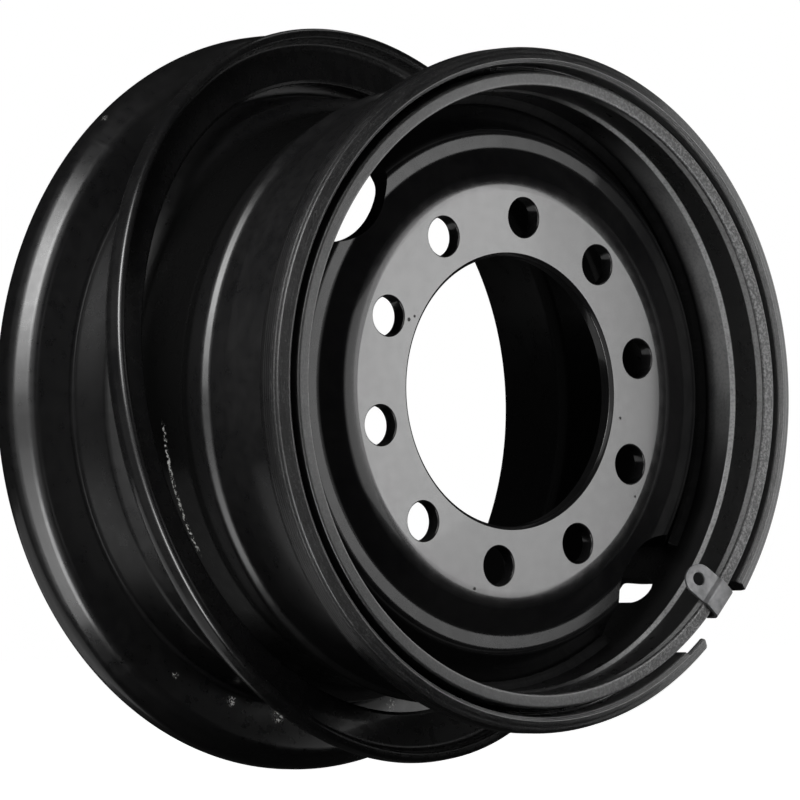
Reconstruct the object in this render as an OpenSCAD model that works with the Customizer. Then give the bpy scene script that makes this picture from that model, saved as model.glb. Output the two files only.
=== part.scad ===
// Ten-stud disc truck wheel on a multi-piece rim: rolled rim base with a fixed
// back flange, pressed nave disc welded inside it, a continuous side ring that
// hangs cocked on the drum, a split lock ring in the gutter and a valve clip.
// Millimetres. The wheel axis is Y, the outboard face looks towards -Y and the
// origin is the centre of the mounting face. Sections are given as [r, s] where
// r is the distance from the axis and s is the distance outboard of that face.

/* [Mounting] */
// Diameter of the stud circle
stud_pcd = 285.75; // [280:0.05:290]
// Number of studs
stud_count = 10; // [6:1:12]
// Diameter of a stud hole
stud_hole_d = 32; // [26:0.5:34]
// Diameter of the centre bore
bore_d = 220.1; // [214:0.1:224]
// Angle of the first stud hole, counter-clockwise seen from outboard
stud_phase = 11; // [0:1:36]

/* [Disc] */
// Thickness of the pressed disc
disc_t = 13; // [10:0.5:15]
// Outer radius of the flat mounting face
face_r = 171; // [168:1:174]
// How far the shoulder lies behind the mounting face
shoulder_drop = 8; // [6:0.5:10]
// Radius of a hand hole's arc
hand_r = 54; // [44:1:56]
// Angle of the upper hand hole; the other is opposite
hand_phase = 135.3; // [134:0.1:137]

/* [Rim base] */
// Radius of the back flange's outer edge
flange_r = 311; // [304:1:312]
// Radius of the back bead seat at its heel
seat_r = 257; // [254:0.5:258]
// Inner radius of the base under the disc
base_ir = 243.5; // [242:0.5:244]
// Width of the valve slot
slot_w = 28; // [20:1:30]
// Length of the valve slot along the rim
slot_l = 56; // [40:1:60]
// Angle of the valve slot
slot_phase = -42.7; // [-46:0.1:-40]

/* [Side ring] */
// Inner radius of the side ring
ring_ir = 267; // [266:0.5:270]
// Lean of the loose side ring towards the right, in degrees
ring_lean_x = 9; // [0:0.1:9.5]
// Lean of the loose side ring upwards, in degrees
ring_lean_z = 9; // [0:0.1:9.5]
// Place of the loose ring along the axis
ring_s = -170.5; // [-170.5:0.5:-150]

/* [Lock ring] */
// Outer radius of the seated lock ring
lock_r = 278; // [274:1:279]
// Angle of the middle of the lock ring's gap
gap_mid = -43.4; // [-44:0.1:-42]
// Width of the gap, in degrees
gap_deg = 12.8; // [10:0.2:14]
// Length of the finger at the lower end, in degrees
finger_deg = 5; // [2:0.5:8]

/* [Clip] */
// Width of the clip's strip
clip_w = 27; // [20:1:30]
// Thickness of the clip's strip
clip_t = 3; // [2:0.5:3]
// Diameter of the hole in the clip
clip_hole_d = 11; // [8:0.5:13]
// Angle of the clip
clip_phase = -42.5; // [-43:0.1:-41]

/* [Hidden] */
$fn = 96;
e = 0.01;
stud_r = stud_pcd / 2;

// Rounds every corner [r, s, radius] of an outline with an arc of n steps
function unit(v) = v / norm(v);
function corner(p, c, q, n) =
    let (a = unit([p[0] - c[0], p[1] - c[1]]), b = unit([q[0] - c[0], q[1] - c[1]]),
         half = acos(max(-1, min(1, a * b))) / 2)
    c[2] <= 0 || half > 89 ? [[c[0], c[1]]] :
    let (d = c[2] / tan(half), m = unit(a + b) * (c[2] / sin(half)),
         o = [c[0] + m[0], c[1] + m[1]],
         t0 = [c[0] + a[0] * d, c[1] + a[1] * d], t1 = [c[0] + b[0] * d, c[1] + b[1] * d],
         w0 = atan2(t0[1] - o[1], t0[0] - o[0]), w1r = atan2(t1[1] - o[1], t1[0] - o[0]),
         w1 = w1r - w0 > 180 ? w1r - 360 : (w1r - w0 < -180 ? w1r + 360 : w1r))
    [for (i = [0:n]) let (w = w0 + (w1 - w0) * i / n) [o[0] + c[2] * cos(w), o[1] + c[2] * sin(w)]];
function rounded(pts, n = 5) =
    [for (i = [0:len(pts) - 1]) each corner(pts[(i + len(pts) - 1) % len(pts)], pts[i], pts[(i + 1) % len(pts)], n)];

// Turns a section about the wheel axis: local +Z is outboard, which is -Y
module to_wheel() rotate([90, 0, 0]) children();
module turned(pts) rotate_extrude($fn = 180) polygon(rounded(pts));
// A wedge between two angles, used to cut rings
module wedge(a0, a1, r, z0, z1) {
    steps = ceil((a1 - a0) / 40);
    translate([0, 0, z0]) linear_extrude(z1 - z0)
        polygon(concat([[0, 0]], [for (i = [0:steps]) let (a = a0 + (a1 - a0) * i / steps) r * 1.2 * [cos(a), sin(a)]]));
}

// Back flange, seat, well, shoulder, gutter and the bore side of the base.
// The corners run outside from the rear to the front, then back inside.
base_section = [
    [seat_r - 1, -289, 3], [seat_r - 1, -259, 9], [297, -259, 8],
    [flange_r - 9, -263, 7], [flange_r - 9, -281, 7], [289, -284, 0], [289, -292, 3],
    [flange_r, -290, 13], [flange_r, -266, 15], [flange_r - 14, -251, 14],
    [seat_r, -251, 8], [253.5, -212, 12], [241, -190, 16], [241, -128, 22],
    [254, -95.5, 10], [252, -88.5, 8], [252, -1, 2], [250.5, 2, 2.5], [250.5, 20, 2.5],
    [258, 24, 1.5], [258, 40, 4], [246.3, 40, 4.5], [246.3, 5, 3],
    [base_ir, 2, 2], [base_ir, -93, 18], [233.5, -125, 22],
    [233.5, -191, 18], [245.5, -215, 14], [245.5, -289, 6]
];

module rim_base() color([0.06, 0.06, 0.065])
    to_wheel() difference() {
        turned(base_section);
        // valve slot: a round-ended slot along the rim through its wall
        rotate([0, 0, slot_phase]) translate([0, 0, -61]) rotate([0, 90, 0]) {
            translate([(slot_l - slot_w) / 2, 0, 225]) cylinder(d = slot_w, h = 40);
            translate([-(slot_l - slot_w) / 2, 0, 225]) cylinder(d = slot_w, h = 40);
            translate([-(slot_l - slot_w) / 2, -slot_w / 2, 225]) cube([slot_l - slot_w, slot_w, 40]);
        }
    }

disc_front = [
    [bore_d / 2 - 20, 0, 0], [face_r, 0, 20], [198, -shoulder_drop, 10],
    [213.5, -shoulder_drop, 9], [226, -24.7, 30], [base_ir, -43, 14], [base_ir, -82, 1.5]
];
disc_back = [
    [base_ir - 11, -82, 1.5], [base_ir - 11, -49, 14], [204, -shoulder_drop - disc_t, 12],
    [190, -shoulder_drop - disc_t, 12], [168, -disc_t, 14], [bore_d / 2 - 20, -disc_t, 0]
];

module wheel_disc() color([0.07, 0.07, 0.075])
    to_wheel() difference() {
        turned(concat(disc_front, disc_back));
        // centre bore with a bevelled front edge
        translate([0, 0, -60]) cylinder(d = bore_d, h = 80, $fn = 180);
        translate([0, 0, -2.8]) cylinder(r1 = bore_d / 2, r2 = bore_d / 2 + 3.8, h = 3.8, $fn = 180);
        // straight stud holes
        for (i = [0:stud_count - 1]) rotate([0, 0, stud_phase + i * 360 / stud_count]) translate([stud_r, 0, 0]) {
            translate([0, 0, -disc_t - 4]) cylinder(d = stud_hole_d, h = disc_t + 8);
        }
        // hand holes: arcs cut in from the skirt's edge
        for (a = [0, 180]) rotate([0, 0, hand_phase + a]) translate([192.5 + hand_r, 0, -120]) cylinder(r = hand_r, h = 130);
    }

// A bead between the hand holes, with a small arc of clearance at each end
module bead(pts) to_wheel() intersection() {
    turned(pts);
    for (a = [0, 180]) rotate([0, 0, a]) wedge(hand_phase + 12.8 - 180, hand_phase - 12.8, 260, -130, 10);
}
module disc_welds_front() color([0.06, 0.06, 0.065])
    bead([[base_ir, -28, 0], [base_ir, -39.6, 0], [239.3, -38.55, 0], [235.2, -34.3, 2], [239, -31, 6]]);
module disc_welds_rear() color([0.06, 0.06, 0.065])
    bead([[base_ir, -82, 0], [base_ir, -91.5, 1], [239.5, -90, 3], [base_ir - 8.5, -82, 0]]);

ring_section = [
    [ring_ir, -8.5, 1.5], [ring_ir, -15.5, 3], [flange_r, -15.5, 15],
    [flange_r, 9, 4], [302.5, 9, 4], [302, -7, 8], [ring_ir + 3, -7, 1]
];
module side_ring() color([0.06, 0.06, 0.065])
    to_wheel() translate([-4.5, 3.5, ring_s]) rotate([-ring_lean_z, ring_lean_x, 0]) turned(ring_section);

lock_section = [
    [250.6, 2.6, 2], [257, 2.6, 2], [263.5, 2, 1.5], [264.5, 12, 2],
    [276, 13.5, 4], [lock_r, 20, 5], [lock_r, 32.5, 1], [276.8, 38, 1.2],
    [268, 41.4, 1.5], [264.2, 38.2, 2], [264.2, 23.5, 3], [259, 20.6, 2], [250.6, 19.2, 2.4]
];
// What is left of the section along the lower end's finger lies outside this
finger_cut = [[240, -30], [290, -30], [290, 10], [280, 20], [272.4, 28.6], [266.4, 36.6], [262, 41], [240, 60]];
module lock_ring() color([0.06, 0.06, 0.065])
    to_wheel() difference() {
        turned(lock_section);
        wedge(gap_mid - gap_deg / 2, gap_mid + gap_deg / 2, 300, -20, 60);
        // the lower end is cut back to a finger along the front bead
        intersection() {
            wedge(gap_mid - gap_deg / 2 - finger_deg, gap_mid, 300, -40, 70);
            rotate_extrude($fn = 180) polygon(finger_cut);
        }
    }

// Strip hooked over the gutter lip in the gap, with a round-ended tab inwards.
// Its side view is extruded across the strip, then the tab's end is rounded.
clip_bend = 16;
clip_len = 25.6;
clip_root = [244, 40.25];
clip_in = [-cos(clip_bend), -sin(clip_bend)];
clip_back = clip_t * [sin(clip_bend), -cos(clip_bend)];
clip_side = [[262.5, 28, 1], [262.5, 40.2, 3], [248.46, 40.2, 2], [245.52, 37.57, 2],
    concat(clip_root + clip_len * clip_in + clip_back, 0), concat(clip_root + clip_len * clip_in, 0),
    concat(clip_root, 2), [247.3, 43.2, 3], [265.5, 43.2, 6], [265.5, 28, 1]];
module valve_clip() color([0.55, 0.55, 0.56])
    to_wheel() rotate([0, 0, clip_phase]) difference() {
        translate([0, clip_w / 2, 0]) rotate([90, 0, 0]) linear_extrude(clip_w) polygon(rounded(clip_side));
        translate([clip_root[0], 0, clip_root[1]]) rotate([0, -clip_bend, 0]) {
            translate([-13.4, 0, -9]) cylinder(d = clip_hole_d, h = 15);
            difference() {
                translate([-36, -20, -10]) cube([36 - clip_len + clip_w / 2 - 0.6, 40, 20]);
                translate([-clip_len + clip_w / 2 + 0.1, 0, -11]) cylinder(r = clip_w / 2 + 0.1, h = 22);
            }
        }
    }

rim_base();
wheel_disc();
disc_welds_front();
disc_welds_rear();
side_ring();
lock_ring();
valve_clip();
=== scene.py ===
import math

import bpy
import bmesh
import numpy as np
from mathutils import Matrix, Vector


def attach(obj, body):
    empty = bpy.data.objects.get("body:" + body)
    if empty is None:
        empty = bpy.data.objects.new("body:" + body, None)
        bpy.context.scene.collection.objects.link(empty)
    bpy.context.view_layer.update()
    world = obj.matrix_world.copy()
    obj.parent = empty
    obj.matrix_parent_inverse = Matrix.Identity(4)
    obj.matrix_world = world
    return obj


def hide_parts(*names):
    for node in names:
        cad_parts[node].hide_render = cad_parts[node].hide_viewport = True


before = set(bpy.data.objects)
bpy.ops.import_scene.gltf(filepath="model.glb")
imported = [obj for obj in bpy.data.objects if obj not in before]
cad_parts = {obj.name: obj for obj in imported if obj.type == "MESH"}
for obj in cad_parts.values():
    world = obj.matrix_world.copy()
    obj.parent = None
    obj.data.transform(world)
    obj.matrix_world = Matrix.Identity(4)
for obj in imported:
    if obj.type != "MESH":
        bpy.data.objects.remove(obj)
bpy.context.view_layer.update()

# The wheel axis is Y, the outboard face looks towards -Y, +Z is up and the
# origin is the centre of the mounting face. Sections are [r, s, fillet] in mm:
# r from the axis, s outboard of the face. Everything ends up in metres.

scene = bpy.context.scene
rng = np.random.default_rng(7)


# ---------------------------------------------------------------- sections
def unit2(v):
    return v / max(np.linalg.norm(v), 1e-12)


def corner(p, c, q, fine=1.0):
    """The arc that rounds corner c between p and q, or c itself."""
    a, b = unit2(p[:2] - c[:2]), unit2(q[:2] - c[:2])
    half = math.acos(max(-1.0, min(1.0, float(a @ b)))) / 2
    rad = c[2]
    if rad <= 0 or math.degrees(half) > 89:
        return [c[:2].copy()], False
    d = rad / math.tan(half)
    o = c[:2] + unit2(a + b) * rad / math.sin(half)
    t0, t1 = c[:2] + a * d - o, c[:2] + b * d - o
    w0, w1 = math.atan2(t0[1], t0[0]), math.atan2(t1[1], t1[0])
    if w1 - w0 > math.pi:
        w1 -= 2 * math.pi
    if w1 - w0 < -math.pi:
        w1 += 2 * math.pi
    turn = abs(math.degrees(w1 - w0))
    step = 11.0 if rad < 3 else (8.0 if rad < 8 else 5.5)
    n = max(2, int(math.ceil(turn / step * fine)))
    return [o + rad * np.array([math.cos(w0 + (w1 - w0) * i / n), math.sin(w0 + (w1 - w0) * i / n)]) for i in range(n + 1)], True


def outline(pts, support=0.35, longest=14.0, fine=1.0):
    """A closed outline with rounded corners, holding points beside each arc
    so that flats stay flat, and extra points along the long flats."""
    pts = [np.array(list(p) + [0.0] * (3 - len(p)), float) for p in pts]
    n = len(pts)
    arcs = [corner(pts[i - 1], pts[i], pts[(i + 1) % n], fine) for i in range(n)]
    out = []
    for i in range(n):
        arc, soft = arcs[i]
        out.extend(arc)
        a, b = arc[-1], arcs[(i + 1) % n][0][0]
        length = np.linalg.norm(b - a)
        if length < 1e-6:
            continue
        marks = []
        if soft and length > 3 * support:
            marks.append(support / length)
        if arcs[(i + 1) % n][1] and length > 3 * support:
            marks.append(1 - support / length)
        k = int(length // longest)
        marks += [j / (k + 1) for j in range(1, k + 1)]
        out.extend(a + (b - a) * t for t in sorted(marks))
    keep = [out[0]]
    for p in out[1:]:
        if np.linalg.norm(p - keep[-1]) > 1e-4:
            keep.append(p)
    if np.linalg.norm(keep[0] - keep[-1]) < 1e-4:
        keep.pop()
    return np.array(keep)


def place(r, s, a):
    """Wheel coordinates in mm and radians to world metres."""
    return np.stack([r * np.cos(a), -s, r * np.sin(a)], -1) / 1000.0


def mesh_object(name, verts, faces):
    me = bpy.data.meshes.new(name)
    me.from_pydata(np.asarray(verts).tolist(), [], faces)
    me.update()
    bm = bmesh.new()
    bm.from_mesh(me)
    bmesh.ops.recalc_face_normals(bm, faces=bm.faces)
    bm.to_mesh(me)
    bm.free()
    ob = bpy.data.objects.new(name, me)
    scene.collection.objects.link(ob)
    return ob


def turned(name, sec, n=360, warp=None, a0=0.0):
    """The closed outline sec turned all the way round the wheel axis."""
    ang = a0 + np.arange(n) * 2 * math.pi / n
    m = len(sec)
    A, R = np.meshgrid(ang, sec[:, 0], indexing="ij")
    _, S = np.meshgrid(ang, sec[:, 1], indexing="ij")
    if warp is not None:
        R, S = warp(R, S, A)
    verts = place(R, S, A).reshape(-1, 3)
    faces = []
    for i in range(n):
        b, c = i * m, ((i + 1) % n) * m
        for j in range(m):
            k = (j + 1) % m
            faces.append((b + j, b + k, c + k, c + j))
    return mesh_object(name, verts, faces)


def swept(name, sections, angles):
    """Closed outlines, one at each angle in degrees, joined and capped."""
    m = len(sections[0])
    verts, faces = [], []
    for sec, a in zip(sections, np.radians(angles)):
        verts.append(place(sec[:, 0], sec[:, 1], np.full(m, a)))
    verts = np.concatenate(verts)
    n = len(angles)
    for i in range(n - 1):
        b, c = i * m, (i + 1) * m
        for j in range(m):
            k = (j + 1) % m
            faces.append((b + j, b + k, c + k, c + j))
    faces.append(tuple(range(m)))
    faces.append(tuple((n - 1) * m + j for j in reversed(range(m))))
    return mesh_object(name, verts, faces)


def inset(sec, d):
    """An outline moved inwards by d, for the eased end of a bar."""
    prev, nxt = np.roll(sec, 1, 0), np.roll(sec, -1, 0)
    t = nxt - prev
    t /= np.maximum(np.linalg.norm(t, axis=1, keepdims=True), 1e-9)
    nrm = np.stack([t[:, 1], -t[:, 0]], 1)
    area = 0.5 * np.sum(sec[:, 0] * np.roll(sec[:, 1], -1) - np.roll(sec[:, 0], -1) * sec[:, 1])
    return sec - nrm * d * (1 if area > 0 else -1)


def spun(name, profile, centre_r, angle, n=64):
    """A solid of revolution about an axis parallel to the wheel's, standing
    at radius centre_r and angle (degrees). profile is [rho, s] with rho 0 at
    both ends, used as a cutter."""
    prof = np.array(profile, float)
    cx, cz = centre_r * math.cos(math.radians(angle)), centre_r * math.sin(math.radians(angle))
    verts, faces = [], []
    inner = prof[1:-1]
    m = len(inner)
    for i in range(n):
        w = 2 * math.pi * i / n
        for rho, s in inner:
            verts.append(((cx + rho * math.cos(w)) / 1000, -s / 1000, (cz + rho * math.sin(w)) / 1000))
    lo, hi = len(verts), len(verts) + 1
    verts += [(cx / 1000, -prof[0][1] / 1000, cz / 1000), (cx / 1000, -prof[-1][1] / 1000, cz / 1000)]
    for i in range(n):
        b, c = i * m, ((i + 1) % n) * m
        for j in range(m - 1):
            faces.append((b + j, b + j + 1, c + j + 1, c + j))
        faces.append((lo, b, c))
        faces.append((hi, c + m - 1, b + m - 1))
    return mesh_object(name, verts, faces)


def arc_profile(pts, fine=1.0):
    """An open profile with rounded inner corners."""
    pts = [np.array(list(p) + [0.0] * (3 - len(p)), float) for p in pts]
    out = [pts[0][:2]]
    for i in range(1, len(pts) - 1):
        out.extend(corner(pts[i - 1], pts[i], pts[i + 1], fine)[0])
    out.append(pts[-1][:2])
    return out


def cut(ob, cutters, solver="MANIFOLD"):
    """ob with the cutters taken out of it, as a plain mesh."""
    for c in cutters:
        m = ob.modifiers.new("cut", "BOOLEAN")
        m.operation, m.solver, m.object = "DIFFERENCE", solver, c
    finish_modifiers(ob)
    for c in cutters:
        bpy.data.objects.remove(c)
    return ob


def joined(ob, others, solver="MANIFOLD"):
    for c in others:
        m = ob.modifiers.new("join", "BOOLEAN")
        m.operation, m.solver, m.object = "UNION", solver, c
    finish_modifiers(ob)
    for c in others:
        bpy.data.objects.remove(c)
    return ob


def finish_modifiers(ob):
    bpy.context.view_layer.update()
    dg = bpy.context.evaluated_depsgraph_get()
    me = bpy.data.meshes.new_from_object(ob.evaluated_get(dg))
    ob.modifiers.clear()
    old = ob.data
    ob.data = me
    bpy.data.meshes.remove(old)


def shade(ob, angle=28.0, flat_planes=()):
    """Smooth shading with sharp edges. Faces on a stated plane (a y in
    metres) keep their exact normal right up to their border."""
    me = ob.data
    for p in me.polygons:
        p.use_smooth = True
    me.set_sharp_from_angle(angle=math.radians(angle))
    if flat_planes:
        bm = bmesh.new()
        bm.from_mesh(me)
        on = {}
        for f in bm.faces:
            on[f.index] = any(abs(abs(f.normal.y) - 1) < 2e-5 and all(abs(v.co.y - y) < 2e-6 for v in f.verts) for y in flat_planes)
        for e in bm.edges:
            if len(e.link_faces) == 2 and on[e.link_faces[0].index] != on[e.link_faces[1].index]:
                e.smooth = False
        bm.to_mesh(me)
        bm.free()
    me.update()


# --------------------------------------------------------- dimensions, mm
STUD_PCD, STUD_N, STUD_D, STUD_SEAT = 285.75, 10, 32.0, 37.0
BORE_R, STUD_PHASE = 110.05, 11.0
DISC_T, DROP, FACE_R = 13.0, 8.0, 171.0
HAND_R, HAND_PHASE = 54.0, 135.3
SLOT_W, SLOT_L, SLOT_PHASE = 28.0, 56.0, -42.7
FLANGE_R, SEAT_R, BASE_IR = 311.0, 257.0, 243.5
RING_IR, LEAN_X, LEAN_Z, RING_S = 267.0, 9.0, 9.0, -170.5
GAP_MID, GAP_DEG, FINGER = -43.4, 12.8, 5.0
CLIP_W, CLIP_T, CLIP_HOLE, CLIP_PHASE = 27.0, 3.0, 11.0, -42.5

base_section = [
    [256, -289, 3], [256, -259, 9], [297, -259, 8], [302, -263, 7], [302, -281, 7], [289, -284, 0.4], [289, -292, 3],
    [311, -290, 13], [311, -266, 15], [297, -251, 14], [257, -251, 3.5], [253.5, -212, 12], [241, -190, 16],
    [241, -128, 22], [255, -87.5, 6], [250.2, -79.8, 6], [252, -60, 30], [252, -1, 2], [250.5, 2, 2.5], [250.5, 20, 2.5], [258, 24, 1.5],
    [258, 40, 2.2], [246.3, 40, 1.8], [246.3, 5, 3], [243.5, 2, 2], [243.5, -93, 18], [233.5, -125, 22],
    [233.5, -191, 18], [245.5, -215, 14], [245.5, -289, 6]]
disc_section = [
    [90.05, 0, 0], [171.4, 0, 52], [198, -8, 12], [213.5, -8, 9], [226, -24.7, 30], [243.5, -43, 14], [243.5, -82, 1.5],
    [232.5, -82, 1.5], [232.5, -49, 14], [204, -21, 12], [190, -21, 12], [168, -13, 14], [90.05, -13, 0]]
weld_front = [[243.5, -28, 0], [243.5, -39.6, 0], [239.3, -38.55, 0], [235.2, -34.3, 2], [239, -31, 6]]
weld_rear = [[243.5, -82, 0], [243.5, -91.5, 1], [239.5, -90, 3], [235, -82, 0]]
ring_section = [
    [267, -8.5, 1.5], [267, -15.5, 3], [311, -15.5, 15], [311, 9, 4], [302.5, 9, 4], [302, -7, 8], [270, -7, 1]]
lock_section = [
    [250.6, 2.6, 2], [257, 2.6, 2], [263.5, 2, 1.5], [264.5, 12, 2], [276, 13.5, 4], [278, 20, 5], [278, 32.5, 1],
    [276.8, 38, 1.2], [268, 41.4, 1.5], [264.2, 38.2, 2], [264.2, 23.5, 3], [259, 20.6, 2], [250.6, 19.2, 2.4]]


def ripple(a, k, phase=0.0):
    return np.sin(a * k + phase)


# ------------------------------------------------------------- rim base
def base_warp(R, S, A):
    # rolled steel is never quite true: slow waves of a few hundredths
    w = 0.05 * ripple(A, 3, 0.4) + 0.04 * ripple(A, 7, 1.9) + 0.03 * ripple(A, 13, 0.7)
    outside = np.clip((R - 247.5) / 3, 0, 1) * np.clip((300 - R) / 5, 0, 1)
    return R + w * outside, S


rim = turned("rim_base_shell", outline(base_section, longest=12.0, fine=0.8), 310, base_warp)


def slot_cutter():
    n = 40
    h, w = SLOT_L / 2, SLOT_W / 2
    pts = []
    for i in range(n + 1):
        t = math.pi * i / n
        pts.append((h - w + w * math.sin(t), w * math.cos(t)))
    for i in range(n + 1):
        t = math.pi * i / n
        pts.append((-(h - w) - w * math.sin(t), -w * math.cos(t)))
    a = math.radians(SLOT_PHASE)
    er, et = np.array([math.cos(a), 0, math.sin(a)]), np.array([-math.sin(a), 0, math.cos(a)])
    ey = np.array([0, -1.0, 0])
    verts, faces = [], []
    for r in (225.0, 265.0):
        for ds, dt in pts:
            verts.append((er * r + ey * (-61 + ds) + et * dt) / 1000)
    m = len(pts)
    for j in range(m):
        k = (j + 1) % m
        faces.append((j, k, m + k, m + j))
    faces.append(tuple(range(m)))
    faces.append(tuple(m + j for j in reversed(range(m))))
    return mesh_object("slot_cutter", verts, faces)


cut(rim, [slot_cutter()])
shade(rim)

# ------------------------------------------------------------ wheel disc
disc = turned("wheel_disc_pressing", outline(disc_section, longest=9.0), 504)
hole_profile = arc_profile([
    [0, -22, 0], [17.0, -22, 0], [17.0, -13.003, 0.0], [16.0, -11.8, 1.2], [16.0, -0.9, 0.8], [16.95, 0.003, 0.7], [19.5, 0.06, 0], [19.5, 6, 0], [0, 6, 0]])
bore_profile = arc_profile([
    [0, -22, 0], [111.0, -22, 0], [111.0, -13.003, 0.0], [110.05, -11.7, 1.2], [110.05, -2.8, 1.5], [112.95, 0.003, 1.4], [116, 0.08, 0], [116, 6, 0], [0, 6, 0]])
cutters = [spun("bore_cutter", bore_profile, 0, 0, 504)]
for i in range(STUD_N):
    cutters.append(spun("stud_cutter_%d" % i, hole_profile, STUD_PCD / 2, STUD_PHASE + 36 * i, 72))
for a in (0, 180):
    cutters.append(spun("hand_cutter_%d" % a, [[0, -125], [HAND_R, -125], [HAND_R, 12], [0, 12]], 192.5 + HAND_R, HAND_PHASE + a, 180))
cut(disc, cutters)
shade(disc, 30, flat_planes=(0.0, DISC_T / 1000))


# ------------------------------------------------------------ weld beads
def bead(name, pts, pitch, depth, step=0.22):
    sec = outline(pts, support=0.2, fine=1.4)
    root = sec[:, 0] > 243.4
    parts = []
    for k, turn in enumerate((0, 180)):
        a0, a1 = HAND_PHASE + 12.8 - 180 + turn, HAND_PHASE - 12.8 + turn
        angles = np.linspace(a0, a1, int((a1 - a0) / step) + 1)
        rows = []
        for a in angles:
            t = (a / pitch) % 1.0
            # each ripple is a shallow scallop, steeper on one side
            lift = (1 - (2 * t - 1) ** 2) * depth + 0.12 * math.sin(a * 1.7) + 0.08 * math.sin(a * 5.3 + 1)
            ease = min(1.0, (a - a0) / 2.0, (a1 - a) / 2.0)
            d = depth + 0.2 - lift + (1 - max(ease, 0) ** 0.5) * 2.0
            moved = inset(sec, d)
            moved[root] = sec[root]
            rows.append(moved)
        parts.append(swept("%s_%d" % (name, k), rows, angles))
    ob = parts[0]
    bm = bmesh.new()
    for p in parts:
        bm.from_mesh(p.data)
    bm.to_mesh(ob.data)
    bm.free()
    bpy.data.objects.remove(parts[1])
    ob.name = name
    shade(ob, 45)
    return ob


front_bead = bead("front_weld_beads", weld_front, 1.3, 0.12)
rear_bead = bead("rear_weld_beads", weld_rear, 1.3, 0.2)


# -------------------------------------------------------------- side ring
def ring_warp(R, S, A):
    w = 0.05 * ripple(A, 3, 1.1) + 0.04 * ripple(A, 8, 0.3)
    return R - np.abs(w) * np.clip((R - 268) / 3, 0, 1) * np.clip((305 - R) / 5, 0, 1), S


side = turned("side_ring_formed", outline(ring_section), 360, ring_warp)
# local wheel frame (x, y, s): lean about local x, then local y, then move
_l2w = np.array([[1, 0, 0], [0, 0, -1], [0, 1, 0]], float)      # (x, y, s) -> world
_rx = Matrix.Rotation(math.radians(-LEAN_Z), 3, "X")
_ry = Matrix.Rotation(math.radians(LEAN_X), 3, "Y")
_lean = np.array(_ry @ _rx)
_move = np.array([-4.5, 3.5, RING_S]) / 1000
co = np.array([v.co for v in side.data.vertices])
local = co @ _l2w            # inverse of an orthonormal map is its transpose
local = local @ _lean.T + _move
side.data.vertices.foreach_set("co", (local @ _l2w.T).astype(np.float32).ravel())
side.data.update()
shade(side)

# -------------------------------------------------------------- lock ring
lock_out = outline(lock_section, longest=8.0)
A_UP, A_LOW = GAP_MID + GAP_DEG / 2, GAP_MID - GAP_DEG / 2 + 360
BODY_END = A_LOW - FINGER
ease = [(0.0, 0.7), (0.06, 0.28), (0.16, 0.0)]
angles = [A_UP + a for a, _ in ease]
rows = [inset(lock_out, d) for _, d in ease]
mid = np.linspace(A_UP + 0.3, BODY_END - 0.3, 352)
angles += list(mid)
rows += [lock_out] * len(mid)
for a, d in reversed(ease):
    angles.append(BODY_END - a)
    rows.append(inset(lock_out, d))
lock = swept("lock_ring_split", rows, angles)
finger_section = [
    [268, 41.38, 1.5], [276.78, 38, 1.2], [277.98, 32.5, 1], [277.98, 21.5, 2.5], [272.2, 29.2, 3], [266.3, 37.2, 2.0]]
finger_out = outline(finger_section, longest=8.0)
centre = finger_out.mean(0)
fa, fr = [], []
for a in np.linspace(BODY_END - 1.2, A_LOW - 0.9, 22):
    fa.append(a)
    fr.append(centre + (finger_out - centre) * 0.9985)
for t in np.linspace(0.12, 1.0, 9):
    fa.append(A_LOW - 0.9 * (1 - t))
    fr.append(centre + (finger_out - centre) * 0.9985 * math.sqrt(max(1 - (t * 0.985) ** 2, 0.0)) ** 0.8)
finger = swept("lock_finger", fr, fa)
joined(lock, [finger])
shade(lock)


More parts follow.
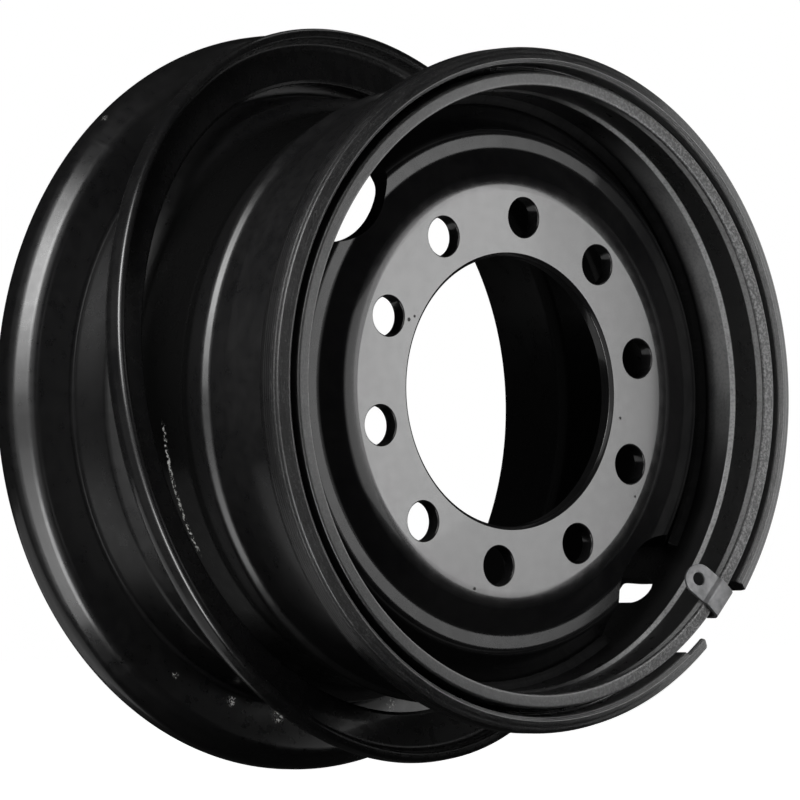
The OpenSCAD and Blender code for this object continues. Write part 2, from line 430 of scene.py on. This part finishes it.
# --------------------------------------------------------------- the clip
def clip():
    b = math.radians(16)
    root = np.array([244, 40.25])
    inn = np.array([-math.cos(b), -math.sin(b)])
    back = CLIP_T * np.array([math.sin(b), -math.cos(b)])
    end = root + 25.6 * inn
    side_view = outline([
        [262.5, 28, 1], [262.5, 40.2, 3], [248.46, 40.2, 2], [245.52, 37.57, 2], list(end + back) + [0.4], list(end) + [0.5],
        list(root) + [2], [247.3, 43.2, 3], [265.5, 43.2, 6], [265.5, 28, 1]], support=0.25, longest=5.0, fine=1.6)
    # across the strip: eased edges at both sides
    xs = [-13.5, -13.42, -13.15] + list(np.linspace(-12.6, 12.6, 15)) + [13.15, 13.42, 13.5]
    ins = [0.36, 0.14, 0.02] + [0.0] * 15 + [0.02, 0.14, 0.36]
    a = math.radians(CLIP_PHASE)
    er, et, ey = np.array([math.cos(a), 0, math.sin(a)]), np.array([-math.sin(a), 0, math.cos(a)]), np.array([0, -1.0, 0])
    verts, faces = [], []
    m = len(side_view)
    for x, d in zip(xs, ins):
        for r, s in inset(side_view, d):
            verts.append((er * r + ey * s + et * x) / 1000)
    for i in range(len(xs) - 1):
        for j in range(m):
            k = (j + 1) % m
            faces.append((i * m + j, i * m + k, (i + 1) * m + k, (i + 1) * m + j))
    faces.append(tuple(range(m)))
    faces.append(tuple((len(xs) - 1) * m + j for j in reversed(range(m))))
    ob = mesh_object("valve_clip_strip", verts, faces)

    def tab_point(x, y, z):
        # tab frame: x along the tab outwards, y across, z off its front face
        ax = np.array([math.cos(b), math.sin(b)])
        az = np.array([-math.sin(b), math.cos(b)])
        rs = root + ax * x + az * z
        return (er * rs[0] + ey * rs[1] + et * y) / 1000

    def tab_solid(name, profile, cx, n=56):
        verts, faces = [], []
        m = len(profile)
        for i in range(n):
            w = 2 * math.pi * i / n
            for rho, z in profile:
                verts.append(tab_point(cx + rho * math.cos(w), rho * math.sin(w), z))
        for i in range(n):
            bb, cc = i * m, ((i + 1) % n) * m
            for j in range(m - 1):
                faces.append((bb + j, bb + j + 1, cc + j + 1, cc + j))
        faces.append(tuple(i * m for i in range(n)))
        faces.append(tuple(i * m + m - 1 for i in reversed(range(n))))
        return mesh_object(name, verts, faces)

    hole = tab_solid("clip_hole", [(6.2, -9), (6.2, -3.0), (5.5, -2.5), (5.5, -0.5), (5.75, -0.12), (6.3, 0.01), (6.6, 3)], -13.4)
    # rounded end: a block minus a disc whose edges flare a little
    c_x, rad = -25.6 + CLIP_W / 2 + 0.1, CLIP_W / 2 + 0.1
    block = mesh_object("clip_block", [tab_point(x, y, z) for x in (-40, c_x - 0.2) for y in (-20, 20) for z in (-10, 10)],
                        [(0, 1, 3, 2), (4, 5, 7, 6), (0, 1, 5, 4), (2, 3, 7, 6), (0, 2, 6, 4), (1, 3, 7, 5)])
    round_end = tab_solid("clip_round", [(rad - 0.8, -12), (rad - 0.45, -3.05), (rad, -2.55), (rad, -0.45), (rad - 0.35, 0.02), (rad - 0.8, 12)], c_x, 120)
    cut(block, [round_end])
    cut(ob, [hole, block])
    shade(ob, 30)
    return ob


clip_ob = clip()


# --------------------------------------------------------------- materials
class Nodes:
    """Small helper for building node trees."""

    def __init__(self, name):
        self.mat = bpy.data.materials.new(name)
        self.mat.use_nodes = True
        self.t = self.mat.node_tree
        self.t.nodes.clear()
        self.out = self.t.nodes.new("ShaderNodeOutputMaterial")
        self.bsdf = self.t.nodes.new("ShaderNodeBsdfPrincipled")
        self.t.links.new(self.bsdf.outputs[0], self.out.inputs[0])
        self.co = self.t.nodes.new("ShaderNodeTexCoord").outputs["Object"]

    def link(self, a, b):
        self.t.links.new(a, b)

    def put(self, node, key, v):
        if v is None:
            return
        sock = node.inputs[key]
        if isinstance(v, bpy.types.NodeSocket):
            self.t.links.new(v, sock)
        else:
            sock.default_value = v

    def noise(self, scale, detail=4.0, rough=0.55, co=None, distortion=0.0):
        n = self.t.nodes.new("ShaderNodeTexNoise")
        self.put(n, "Vector", co or self.co)
        n.inputs["Scale"].default_value = scale
        n.inputs["Detail"].default_value = detail
        n.inputs["Roughness"].default_value = rough
        n.inputs["Distortion"].default_value = distortion
        return n.outputs["Fac"]

    def voronoi(self, scale, co=None, feature="F1"):
        n = self.t.nodes.new("ShaderNodeTexVoronoi")
        n.feature = feature
        self.put(n, "Vector", co or self.co)
        n.inputs["Scale"].default_value = scale
        return n.outputs["Distance"]

    def math(self, op, a, b=None, c=None, clamp=False):
        n = self.t.nodes.new("ShaderNodeMath")
        n.operation, n.use_clamp = op, clamp
        for i, v in enumerate((a, b, c)):
            if v is None:
                continue
            if isinstance(v, bpy.types.NodeSocket):
                self.t.links.new(v, n.inputs[i])
            else:
                n.inputs[i].default_value = v
        return n.outputs[0]

    def ramp(self, v, lo, hi, a=0.0, b=1.0, smooth=True):
        n = self.t.nodes.new("ShaderNodeMapRange")
        n.interpolation_type = "SMOOTHSTEP" if smooth else "LINEAR"
        self.put(n, "Value", v)
        n.inputs["From Min"].default_value, n.inputs["From Max"].default_value = lo, hi
        n.inputs["To Min"].default_value, n.inputs["To Max"].default_value = a, b
        return n.outputs[0]

    def xyz(self, co=None):
        n = self.t.nodes.new("ShaderNodeSeparateXYZ")
        self.put(n, 0, co or self.co)
        return n.outputs

    def combine(self, x, y, z):
        n = self.t.nodes.new("ShaderNodeCombineXYZ")
        for i, v in enumerate((x, y, z)):
            self.put(n, i, v)
        return n.outputs[0]

    def mapping(self, loc=(0, 0, 0), rot=(0, 0, 0), scale=(1, 1, 1), co=None):
        n = self.t.nodes.new("ShaderNodeMapping")
        self.put(n, "Vector", co or self.co)
        n.inputs["Location"].default_value = loc
        n.inputs["Rotation"].default_value = rot
        n.inputs["Scale"].default_value = scale
        return n.outputs[0]

    def mix(self, fac, a, b):
        n = self.t.nodes.new("ShaderNodeMix")
        n.data_type = "RGBA"
        self.put(n, 0, fac)
        for key, v in ((6, a), (7, b)):
            if isinstance(v, bpy.types.NodeSocket):
                self.t.links.new(v, n.inputs[key])
            else:
                n.inputs[key].default_value = tuple(v) + (1.0,) if len(v) == 3 else v
        return n.outputs[2]

    def polar(self):
        """(radius, angle in radians, x, y, z) about the wheel axis."""
        x, y, z = self.xyz()
        r = self.math("SQRT", self.math("ADD", self.math("MULTIPLY", x, x), self.math("MULTIPLY", z, z)))
        a = self.math("ARCTAN2", z, x)
        return r, a, x, y, z

    def near(self, p, radius, soft=0.35):
        """1 inside a ball about p, falling to 0 at its edge."""
        n = self.t.nodes.new("ShaderNodeVectorMath")
        n.operation = "DISTANCE"
        self.put(n, 0, self.co)
        n.inputs[1].default_value = p
        return self.ramp(n.outputs["Value"], radius * (1 - soft), radius, 1.0, 0.0)

    def bump(self, height, distance, strength=1.0, normal=None):
        n = self.t.nodes.new("ShaderNodeBump")
        n.inputs["Strength"].default_value = strength
        n.inputs["Distance"].default_value = distance
        self.put(n, "Height", height)
        if normal is not None:
            self.put(n, "Normal", normal)
        return n.outputs[0]

    def total(self, *parts):
        """Sum of weight * socket pairs."""
        acc = None
        for w, s in parts:
            t = self.math("MULTIPLY", s, w)
            acc = t if acc is None else self.math("ADD", acc, t)
        return acc

    def most(self, *parts):
        acc = parts[0]
        for p in parts[1:]:
            acc = self.math("MAXIMUM", acc, p)
        return acc


def wheel_point(r, s, deg):
    a = math.radians(deg)
    return (r * math.cos(a) / 1000, -s / 1000, r * math.sin(a) / 1000)


# bare scuffs on the base: r, s and angle of the middle, and a radius in m
SCUFFS = [(275, -251, -124.5, 0.004), (268, -251, -111, 0.006), (269, -251, -100, 0.007), (270.5, -251, -73.3, 0.006), (310.9, -270, 131, 0.004)]


def paint(name, dark=0.007, rough=0.2, coat=1.0, coat_rough=0.06, orange=0.6, spec=0.5, extra=None):
    """Black paint on steel: orange peel, slow colour drift, dust in the roughness and a clear gloss."""
    m = Nodes(name)
    fine, mid, slow = m.noise(620, 3), m.noise(95, 4), m.noise(9, 3)
    tone = m.total((0.55, slow), (0.3, mid), (0.15, fine))
    colour = m.mix(m.ramp(tone, 0.35, 0.65), (dark * 0.75, dark * 0.75, dark * 0.8), (dark * 1.3, dark * 1.28, dark * 1.3))
    roughness = m.ramp(m.total((0.6, mid), (0.4, slow)), 0.3, 0.7, rough * 0.8, rough * 1.25)
    height = m.total((0.5, fine), (1.0, mid))
    normal = m.bump(height, 0.00006 * orange, 0.5)
    m.values = {"colour": colour, "rough": roughness, "metal": None, "normal": normal}
    if extra:
        extra(m)
    v = m.values
    m.put(m.bsdf, "Base Color", v["colour"])
    m.put(m.bsdf, "Roughness", v["rough"])
    if v["metal"] is not None:
        m.put(m.bsdf, "Metallic", v["metal"])
    m.put(m.bsdf, "Normal", v["normal"])
    gloss = getattr(m, "gloss", None)
    if gloss is None:
        m.bsdf.inputs["Coat Weight"].default_value = coat
        m.bsdf.inputs["Specular IOR Level"].default_value = spec
    else:
        m.put(m.bsdf, "Coat Weight", m.math("MULTIPLY", gloss, coat))
        m.put(m.bsdf, "Specular IOR Level", m.math("MULTIPLY", gloss, spec))
    m.bsdf.inputs["Coat Roughness"].default_value = coat_rough
    return m.mat


def base_extra(m):
    r, a, x, y, z = m.polar()
    v = m.values
    grain = m.noise(420, 5, 0.7)
    blot = m.noise(38, 4, 0.6)
    # painted light: a lighter, rougher band on the bore wall in front of the disc, strongest on the +X side and higher
    # up, where light falls on it
    lit_wall_band = m.math("MULTIPLY", m.ramp(r, 0.2428, 0.2432), m.ramp(r, 0.2458, 0.2462, 1.0, 0.0))
    lit_wall_band = m.math("MULTIPLY", lit_wall_band, m.math("MULTIPLY", m.ramp(y, 0.0275, 0.0215), m.ramp(y, -0.0028, -0.0012)))
    lit_wall_band = m.math("MULTIPLY", lit_wall_band, m.math("MULTIPLY", m.ramp(x, 0.10, 0.22), m.ramp(z, -0.085, 0.055, 0.06, 1.0)))
    lit_wall_band = m.math("MULTIPLY", lit_wall_band, m.ramp(m.total((0.6, grain), (0.4, blot)), 0.30, 0.62, 0.45, 1.0))
    colour = m.mix(lit_wall_band, v["colour"], (0.19, 0.19, 0.19))
    # painted light: the inner wall of the gutter lip is a little lighter on the +X side, where light falls on it
    inner = m.math("MULTIPLY", m.ramp(r, 0.2458, 0.2462), m.ramp(r, 0.2475, 0.2468))
    inner = m.math("MULTIPLY", m.math("MULTIPLY", inner, m.ramp(y, -0.003, -0.006)), m.ramp(x, 0.05, 0.22))
    colour = m.mix(m.math("MULTIPLY", inner, m.ramp(grain, 0.35, 0.65, 0.5, 1.0)), colour, (0.02, 0.02, 0.02))
    # painted highlight: onright marks the +X side; a bright line is painted on the step at the front of the bore wall
    # there
    onright = m.ramp(x, 0.04, 0.16)
    step = m.math("MULTIPLY", m.math("MULTIPLY", m.ramp(r, 0.2433, 0.2437), m.ramp(r, 0.2466, 0.2461)), m.math("MULTIPLY", m.ramp(y, -0.0010, -0.0018), m.ramp(y, -0.0058, -0.0046)))
    step = m.math("MULTIPLY", m.math("MULTIPLY", step, onright), m.ramp(grain, 0.3, 0.6, 0.5, 1.0))
    colour = m.mix(step, colour, (0.34, 0.34, 0.34))
    # painted highlight: a light band on the rounded inner edge of the lip front, on the +X side only
    edge = m.math("MULTIPLY", m.math("MULTIPLY", m.ramp(r, 0.2450, 0.2460), m.ramp(r, 0.2472, 0.2466)), m.math("MULTIPLY", m.ramp(y, -0.0305, -0.0320), m.ramp(y, -0.0382, -0.0374)))
    edge = m.math("MULTIPLY", m.math("MULTIPLY", edge, onright), m.ramp(grain, 0.3, 0.6, 0.5, 1.0))
    colour = m.mix(edge, colour, (0.22, 0.22, 0.22))
    # painted light: the outer face of the gutter lip beside the lock ring is lighter towards +X
    groove_light = m.math("MULTIPLY", m.math("MULTIPLY", m.ramp(r, 0.2574, 0.2579), m.ramp(r, 0.2655, 0.2650)), m.ramp(y, -0.0195, -0.021))
    groove_light = m.math("MULTIPLY", m.math("MULTIPLY", groove_light, m.ramp(x, 0.0, 0.2)), m.ramp(y, -0.0392, -0.0385))
    colour = m.mix(groove_light, colour, (0.12, 0.12, 0.12))
    rough = m.math("ADD", v["rough"], m.math("MULTIPLY", m.most(lit_wall_band, step, edge), 0.35))
    # rough, pebbled paint on the front of the gutter lip; its colour is painted lighter towards +X, where light falls
    # on it
    lip = m.math("MULTIPLY", m.ramp(y, -0.0375, -0.0392), m.ramp(r, 0.2455, 0.2468))
    lip = m.math("MULTIPLY", lip, m.ramp(r, 0.2585, 0.2575))
    pebble = m.noise(430, 4, 0.6)
    rough = m.math("ADD", rough, m.math("MULTIPLY", lip, 0.22))
    colour = m.mix(m.math("MULTIPLY", lip, m.ramp(pebble, 0.42, 0.64)), colour, m.mix(m.ramp(x, -0.05, 0.2), (0.02, 0.02, 0.02), (0.095, 0.095, 0.095)))
    # painted shade: the well behind the side ring is made near black and dull, for the shade the ring casts there
    well_shade = m.math("MULTIPLY", m.ramp(r, 0.2475, 0.2445), m.math("MULTIPLY", m.ramp(y, 0.100, 0.112), m.ramp(y, 0.205, 0.190)))
    colour = m.mix(well_shade, colour, (0.004, 0.004, 0.004))
    m.gloss = m.math("SUBTRACT", 1.0, m.math("MULTIPLY", well_shade, 0.8))
    # painted shade: the corner between the flange and the seat has its gloss cut, for the shade that falls there
    nook_shade = m.math("MULTIPLY", m.math("MULTIPLY", m.ramp(r, 0.2562, 0.2572), m.ramp(r, 0.2625, 0.2600)), m.math("MULTIPLY", m.ramp(y, 0.2440, 0.2468), m.ramp(y, 0.2540, 0.2520)))
    m.gloss = m.math("MULTIPLY", m.gloss, m.math("SUBTRACT", 1.0, m.math("MULTIPLY", nook_shade, 0.9)))
    # chipped line of bare metal along the well, and a few scuffs
    line = m.math("MULTIPLY", m.ramp(y, 0.1508, 0.1522), m.ramp(y, 0.1560, 0.1546))
    span = m.math("MULTIPLY", m.ramp(a, math.radians(-176), math.radians(-173)), m.ramp(a, math.radians(-147), math.radians(-151)))
    chips = m.math("MULTIPLY", m.math("MULTIPLY", line, span), m.ramp(m.noise(330, 4, 0.7), 0.50, 0.56))
    spots = None
    for rr, ss, deg, rad in SCUFFS:
        k = m.near(wheel_point(rr, ss, deg), rad, 0.5)
        spots = k if spots is None else m.math("MAXIMUM", spots, k)
    scuff = m.math("MULTIPLY", spots, m.ramp(m.noise(520, 4, 0.7), 0.52, 0.60))
    bare = m.math("MAXIMUM", chips, scuff)
    colour = m.mix(bare, colour, (0.62, 0.62, 0.6))
    rough = m.math("ADD", rough, m.math("MULTIPLY", bare, 0.25))
    # butt weld of the rolled flange: a faint ridge across it
    tang = m.math("ABSOLUTE", m.math("SUBTRACT", a, math.radians(135.5)))
    seam = m.math("MULTIPLY", m.ramp(tang, 0.010, 0.002), m.ramp(r, 0.262, 0.268))
    height = m.total((-0.6, bare), (0.5, m.math("MULTIPLY", seam, m.noise(150, 4))), (1.9, m.math("MULTIPLY", m.math("MULTIPLY", lip, m.ramp(x, -0.1, 0.18, 0.25, 1.0)), pebble)), (0.25, m.math("MULTIPLY", lit_wall_band, grain)))
    v["colour"], v["rough"] = colour, rough
    v["normal"] = m.bump(height, 0.0005, 0.6, v["normal"])


def lock_extra(m):
    r, a, x, y, z = m.polar()
    v = m.values
    pebble = m.noise(520, 5, 0.65)
    front = m.ramp(y, -0.026, -0.031)
    # rolling lines run round the section
    lines = m.math("SINE", m.math("MULTIPLY", m.math("SUBTRACT", y, r), 2600.0))
    height = m.total((1.6, m.math("MULTIPLY", front, pebble)), (0.8, m.math("MULTIPLY", lines, m.noise(30, 2))))
    v["rough"] = m.math("ADD", v["rough"], m.math("MULTIPLY", front, 0.12))
    v["colour"] = m.mix(m.math("MULTIPLY", front, m.ramp(pebble, 0.5, 0.7)), v["colour"], (0.04, 0.04, 0.04))
    # painted light: the ring's inner front slope and inner flank are lighter towards +X, where light falls on them
    slope = m.math("MULTIPLY", m.ramp(r, 0.2683, 0.2678), m.ramp(y, -0.0375, -0.0383))
    side_wall = m.math("MULTIPLY", m.ramp(r, 0.2650, 0.2645), m.ramp(y, -0.022, -0.024))
    v["colour"] = m.mix(m.math("MULTIPLY", m.math("MULTIPLY", m.most(slope, side_wall), m.ramp(x, 0.0, 0.2)), m.ramp(pebble, 0.35, 0.6, 0.6, 1.0)), v["colour"], (0.09, 0.09, 0.09))
    v["normal"] = m.bump(height, 0.0004, 0.55, v["normal"])


mat_base = paint("black_paint", rough=0.3, coat=0.4, coat_rough=0.13, orange=0.6, extra=base_extra)
def disc_extra(m):
    r, a, x, y, z = m.polar()
    v = m.values
    # the outer slope and the skirt are dull; the face and shoulder are glossy
    deg = m.math("MULTIPLY", a, 180 / math.pi)
    outer = m.ramp(r, 0.2125, 0.2155)
    band = m.ramp(r, 0.1745, 0.1790)
    # painted shade: from about -50 to 58 degrees, on the +X side, the shoulder's gloss is cut further, for the shade
    # that side is in
    side = m.math("MULTIPLY", m.ramp(deg, 60.5, 57.0), m.ramp(deg, -62, -40))
    m.gloss = m.math("SUBTRACT", 1.0, m.math("MULTIPLY", outer, 0.8))
    m.gloss = m.math("MULTIPLY", m.gloss, m.math("SUBTRACT", 1.0, m.math("MULTIPLY", band, 0.70)))
    m.gloss = m.math("MULTIPLY", m.gloss, m.math("SUBTRACT", 1.0, m.math("MULTIPLY", m.math("MULTIPLY", band, side), 0.65)))
    roll = m.math("MULTIPLY", band, m.ramp(r, 0.1985, 0.1965))
    m.gloss = m.math("MULTIPLY", m.gloss, m.math("SUBTRACT", 1.0, m.math("MULTIPLY", roll, 0.62)))
    # painted shade: the roll of the shoulder has its gloss cut further on the -X side
    minus_x_shade = m.ramp(m.math("ABSOLUTE", m.math("SUBTRACT", m.math("ABSOLUTE", deg), 180.0)), 56.0, 40.0)
    m.gloss = m.math("MULTIPLY", m.gloss, m.math("SUBTRACT", 1.0, m.math("MULTIPLY", m.math("MULTIPLY", roll, minus_x_shade), 0.7)))
    speck = m.math("MULTIPLY", m.most(*[m.near(wheel_point(rr, 0, deg), rad, 0.5) for rr, deg, rad in FACE_DOTS]), m.ramp(y, 0.0012, 0.0004))
    v["colour"] = m.mix(speck, v["colour"], (0.001, 0.001, 0.001))
    m.gloss = m.math("MULTIPLY", m.gloss, m.math("SUBTRACT", 1.0, m.math("MULTIPLY", speck, 0.85)))
    v["normal"] = m.bump(m.math("MULTIPLY", speck, -1.0), 0.0006, 0.6, v["normal"])


# small dark pits on the face: radius, angle, size in m
FACE_DOTS = [(166.0, -105.5, 0.0016), (121.5, -10.5, 0.0014), (122.5, 152.0, 0.0018), (118.5, 149.5, 0.0013), (160.0, -33.0, 0.0012)]
mat_disc = paint("disc_paint", rough=0.2, coat=0.5, coat_rough=0.06, orange=0.3, extra=disc_extra)
mat_weld = paint("weld_paint", rough=0.4, coat=0.05, coat_rough=0.2, orange=0.8, spec=0.12)
mat_side = paint("ring_paint", rough=0.26, coat=0.45, coat_rough=0.09, orange=0.5)
mat_lock = paint("lock_ring_paint", rough=0.28, coat=0.3, coat_rough=0.12, orange=1.2, extra=lock_extra)


def clip_material():
    m = Nodes("clip_steel")
    grain = m.noise(260, 5, 0.6)
    fine = m.noise(1400, 3)
    blot = m.noise(60, 4)
    colour = m.mix(m.ramp(blot, 0.35, 0.65), (0.085, 0.085, 0.087), (0.15, 0.15, 0.153))
    m.put(m.bsdf, "Base Color", colour)
    m.bsdf.inputs["Metallic"].default_value = 0.55
    m.put(m.bsdf, "Roughness", m.ramp(grain, 0.3, 0.7, 0.42, 0.62))
    m.put(m.bsdf, "Normal", m.bump(m.total((0.7, grain), (0.3, fine)), 0.00012, 0.5))
    return m.mat


mat_clip = clip_material()

PIECES = [
    (rim, mat_base, "rim_base", "black_paint"),
    (disc, mat_disc, "wheel_disc", "disc_paint"),
    (front_bead, mat_weld, "disc_welds_front", "weld_paint"),
    (rear_bead, mat_weld, "disc_welds_rear", "weld_paint"),
    (side, mat_side, "side_ring", "ring_paint"),
    (lock, mat_lock, "lock_ring", "lock_ring_paint"),
    (clip_ob, mat_clip, "valve_clip", "clip_steel"),
]
for ob, mat, node, slot in PIECES:
    ob.data.materials.clear()
    ob.data.materials.append(mat)
    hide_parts(node)
    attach(ob, "root")

# ------------------------------------------------------------------ camera
D, K, CX, CY = 5000.0, 1.2290, 511.45, 391.21
TH, PS = math.radians(40.51), math.radians(-2.83)
cn = np.array([math.sin(TH) * math.cos(PS), math.sin(TH) * math.sin(PS), -math.cos(TH)])
cu = np.cross([0, -1, 0], cn)
cu /= np.linalg.norm(cu)
cv = np.cross(cn, cu)
F = K * D
T = np.array([(CX - 400) / F * D, (CY - 400) / F * D, D])
cam_data = bpy.data.cameras.new("camera")
cam_data.sensor_width = 36.0
cam_data.lens = F * 36 / 800
cam_data.clip_start, cam_data.clip_end = 0.1, 100
cam = bpy.data.objects.new("camera", cam_data)
scene.collection.objects.link(cam)
right, up, backv = (cu[0], -cn[0], cv[0]), (-cu[1], cn[1], -cv[1]), (-cu[2], cn[2], -cv[2])
pos = np.array([-T @ cu, T @ cn, -T @ cv]) / 1000
cam.matrix_world = Matrix([
    [right[0], up[0], backv[0], pos[0]], [right[1], up[1], backv[1], pos[1]], [right[2], up[2], backv[2], pos[2]], [0, 0, 0, 1]])
scene.camera = cam

# ------------------------------------------------------------ floor, light
FLOOR_Z = -0.3112


def stage_floor():
    """A flat pale floor, square to the camera, as bright as the backdrop so
    that no horizon shows and nothing stands behind the wheel."""
    fwd = np.array([-backv[0], -backv[1]])
    fwd /= np.linalg.norm(fwd)
    rgt = np.array([fwd[1], -fwd[0]])
    prof = [(-6.0 + 0.5 * i, 0.0) for i in range(25)]
    xs = np.linspace(-6, 6, 9)
    verts, faces = [], []
    for dist, up_z in prof:
        for x in xs:
            c = fwd * dist + rgt * x
            verts.append((c[0], c[1], FLOOR_Z + up_z))
    for i in range(len(prof) - 1):
        for j in range(len(xs) - 1):
            k = i * len(xs) + j
            faces.append((k, k + 1, k + 1 + len(xs), k + len(xs)))
    me = bpy.data.meshes.new("floor")
    me.from_pydata(verts, [], faces)
    me.update()
    for q in me.polygons:
        q.use_smooth = True
    ob = bpy.data.objects.new("floor", me)
    scene.collection.objects.link(ob)
    mat = bpy.data.materials.new("floor_paper")
    mat.use_nodes = True
    b = mat.node_tree.nodes["Principled BSDF"]
    b.inputs["Base Color"].default_value = (0.9, 0.9, 0.9, 1)
    b.inputs["Roughness"].default_value = 0.9
    b.inputs["Specular IOR Level"].default_value = 0.1
    b.inputs["Emission Color"].default_value = (1, 1, 1, 1)
    b.inputs["Emission Strength"].default_value = 0.992
    me.materials.append(mat)
    ob.visible_glossy = False
    ob.visible_diffuse = False
    return ob


floor = stage_floor()

world = bpy.data.worlds.new("studio")
scene.world = world
world.use_nodes = True
wt = world.node_tree
bg = wt.nodes["Background"]
lp = wt.nodes.new("ShaderNodeLightPath")
mx = wt.nodes.new("ShaderNodeMix")
mx.data_type = "RGBA"
wt.links.new(lp.outputs["Is Camera Ray"], mx.inputs[0])
mx.inputs[6].default_value = (0.012, 0.012, 0.012, 1)
mx.inputs[7].default_value = (1.0, 1.0, 1.0, 1)
wt.links.new(mx.outputs[2], bg.inputs[0])
bg.inputs[1].default_value = 1.0


def softbox(name, az0, az1, el0, el1, radiance, dist=0.8, shape="RECTANGLE"):
    """A soft light that fills a window of directions seen from the wheel's
    middle: azimuth 0 is straight ahead of the outboard face and positive
    towards +X, elevation is up. The camera does not see it."""
    az, el = math.radians((az0 + az1) / 2), math.radians((el0 + el1) / 2)
    d = Vector((math.sin(az) * math.cos(el), -math.cos(az) * math.cos(el), math.sin(el)))
    sx = 2 * dist * math.tan(math.radians((az1 - az0) / 2)) * math.cos(el)
    sy = 2 * dist * math.tan(math.radians((el1 - el0) / 2))
    data = bpy.data.lights.new(name, "AREA")
    data.shape = shape
    data.size, data.size_y = sx, sy
    area = sx * sy * (math.pi / 4 if shape == "ELLIPSE" else 1.0)
    data.energy = radiance * math.pi * area
    ob = bpy.data.objects.new(name, data)
    x = Vector((math.cos(az), math.sin(az), 0))
    y = d.cross(x)
    ob.matrix_world = Matrix(((x[0], y[0], d[0], d[0] * dist), (x[1], y[1], d[1], d[1] * dist), (x[2], y[2], d[2], d[2] * dist), (0, 0, 0, 1)))
    ob.visible_camera = False
    scene.collection.objects.link(ob)
    return ob


def only_on(light, pieces):
    """A flagged light: it reaches just these pieces."""
    c = bpy.data.collections.new(light.name + "_on")
    for q in pieces:
        c.objects.link(q)
    light.light_linking.receiver_collection = c


softbox("face_box", 26.0, 52.2, -20.5, 24.5, 4.2, 0.7, "ELLIPSE")
softbox("face_box_2", 20.0, 44.0, -10.0, 26.0, 1.4, 0.72, "ELLIPSE")
only_on(softbox("lip_box", 56.0, 68.0, -34, 26, 2.2, 0.75), [rim, lock, clip_ob])
# two tall strips on the left, each built up from nested sheets so that its edges are soft
softbox("left_high_a", -94, -66, 3, 56, 2.3)
softbox("left_high_b", -92, -68, 10, 51, 2.2)
softbox("left_high_c", -90, -70, 15, 48, 4.2, 0.8, "ELLIPSE")
softbox("left_high_d", -88, -73, 19, 42, 2.2, 0.8, "ELLIPSE")
softbox("left_low_a", -88, -58, -54, -10, 1.3)
softbox("left_low_b", -86, -60, -54, -17, 1.7)
softbox("left_low_c", -84, -62, -54, -20, 4.6, 0.8, "ELLIPSE")
softbox("left_wide", -99, -60, -50, 54, 0.7)
softbox("left_far", -127, -99, 10, 44, 0.15)
softbox("left_front_high", -62, -32, 14, 44, 0.75)
softbox("left_front_low", -60, -28, -46, 14, 0.4)
softbox("left_far_low", -120, -99, -46, 10, 0.15)
softbox("left_back", -165, -128, -52, -16, 0.4)
only_on(softbox("right_strip", 70, 98, -34, 34, 1.3), [rim, lock, clip_ob])
softbox("front_fill", 0, 25, -16, 16, 1.1)
softbox("back_top", 98, 130, 46, 66, 0.6, 1.2)

scene.view_settings.view_transform = "Standard"
scene.view_settings.look = "None"
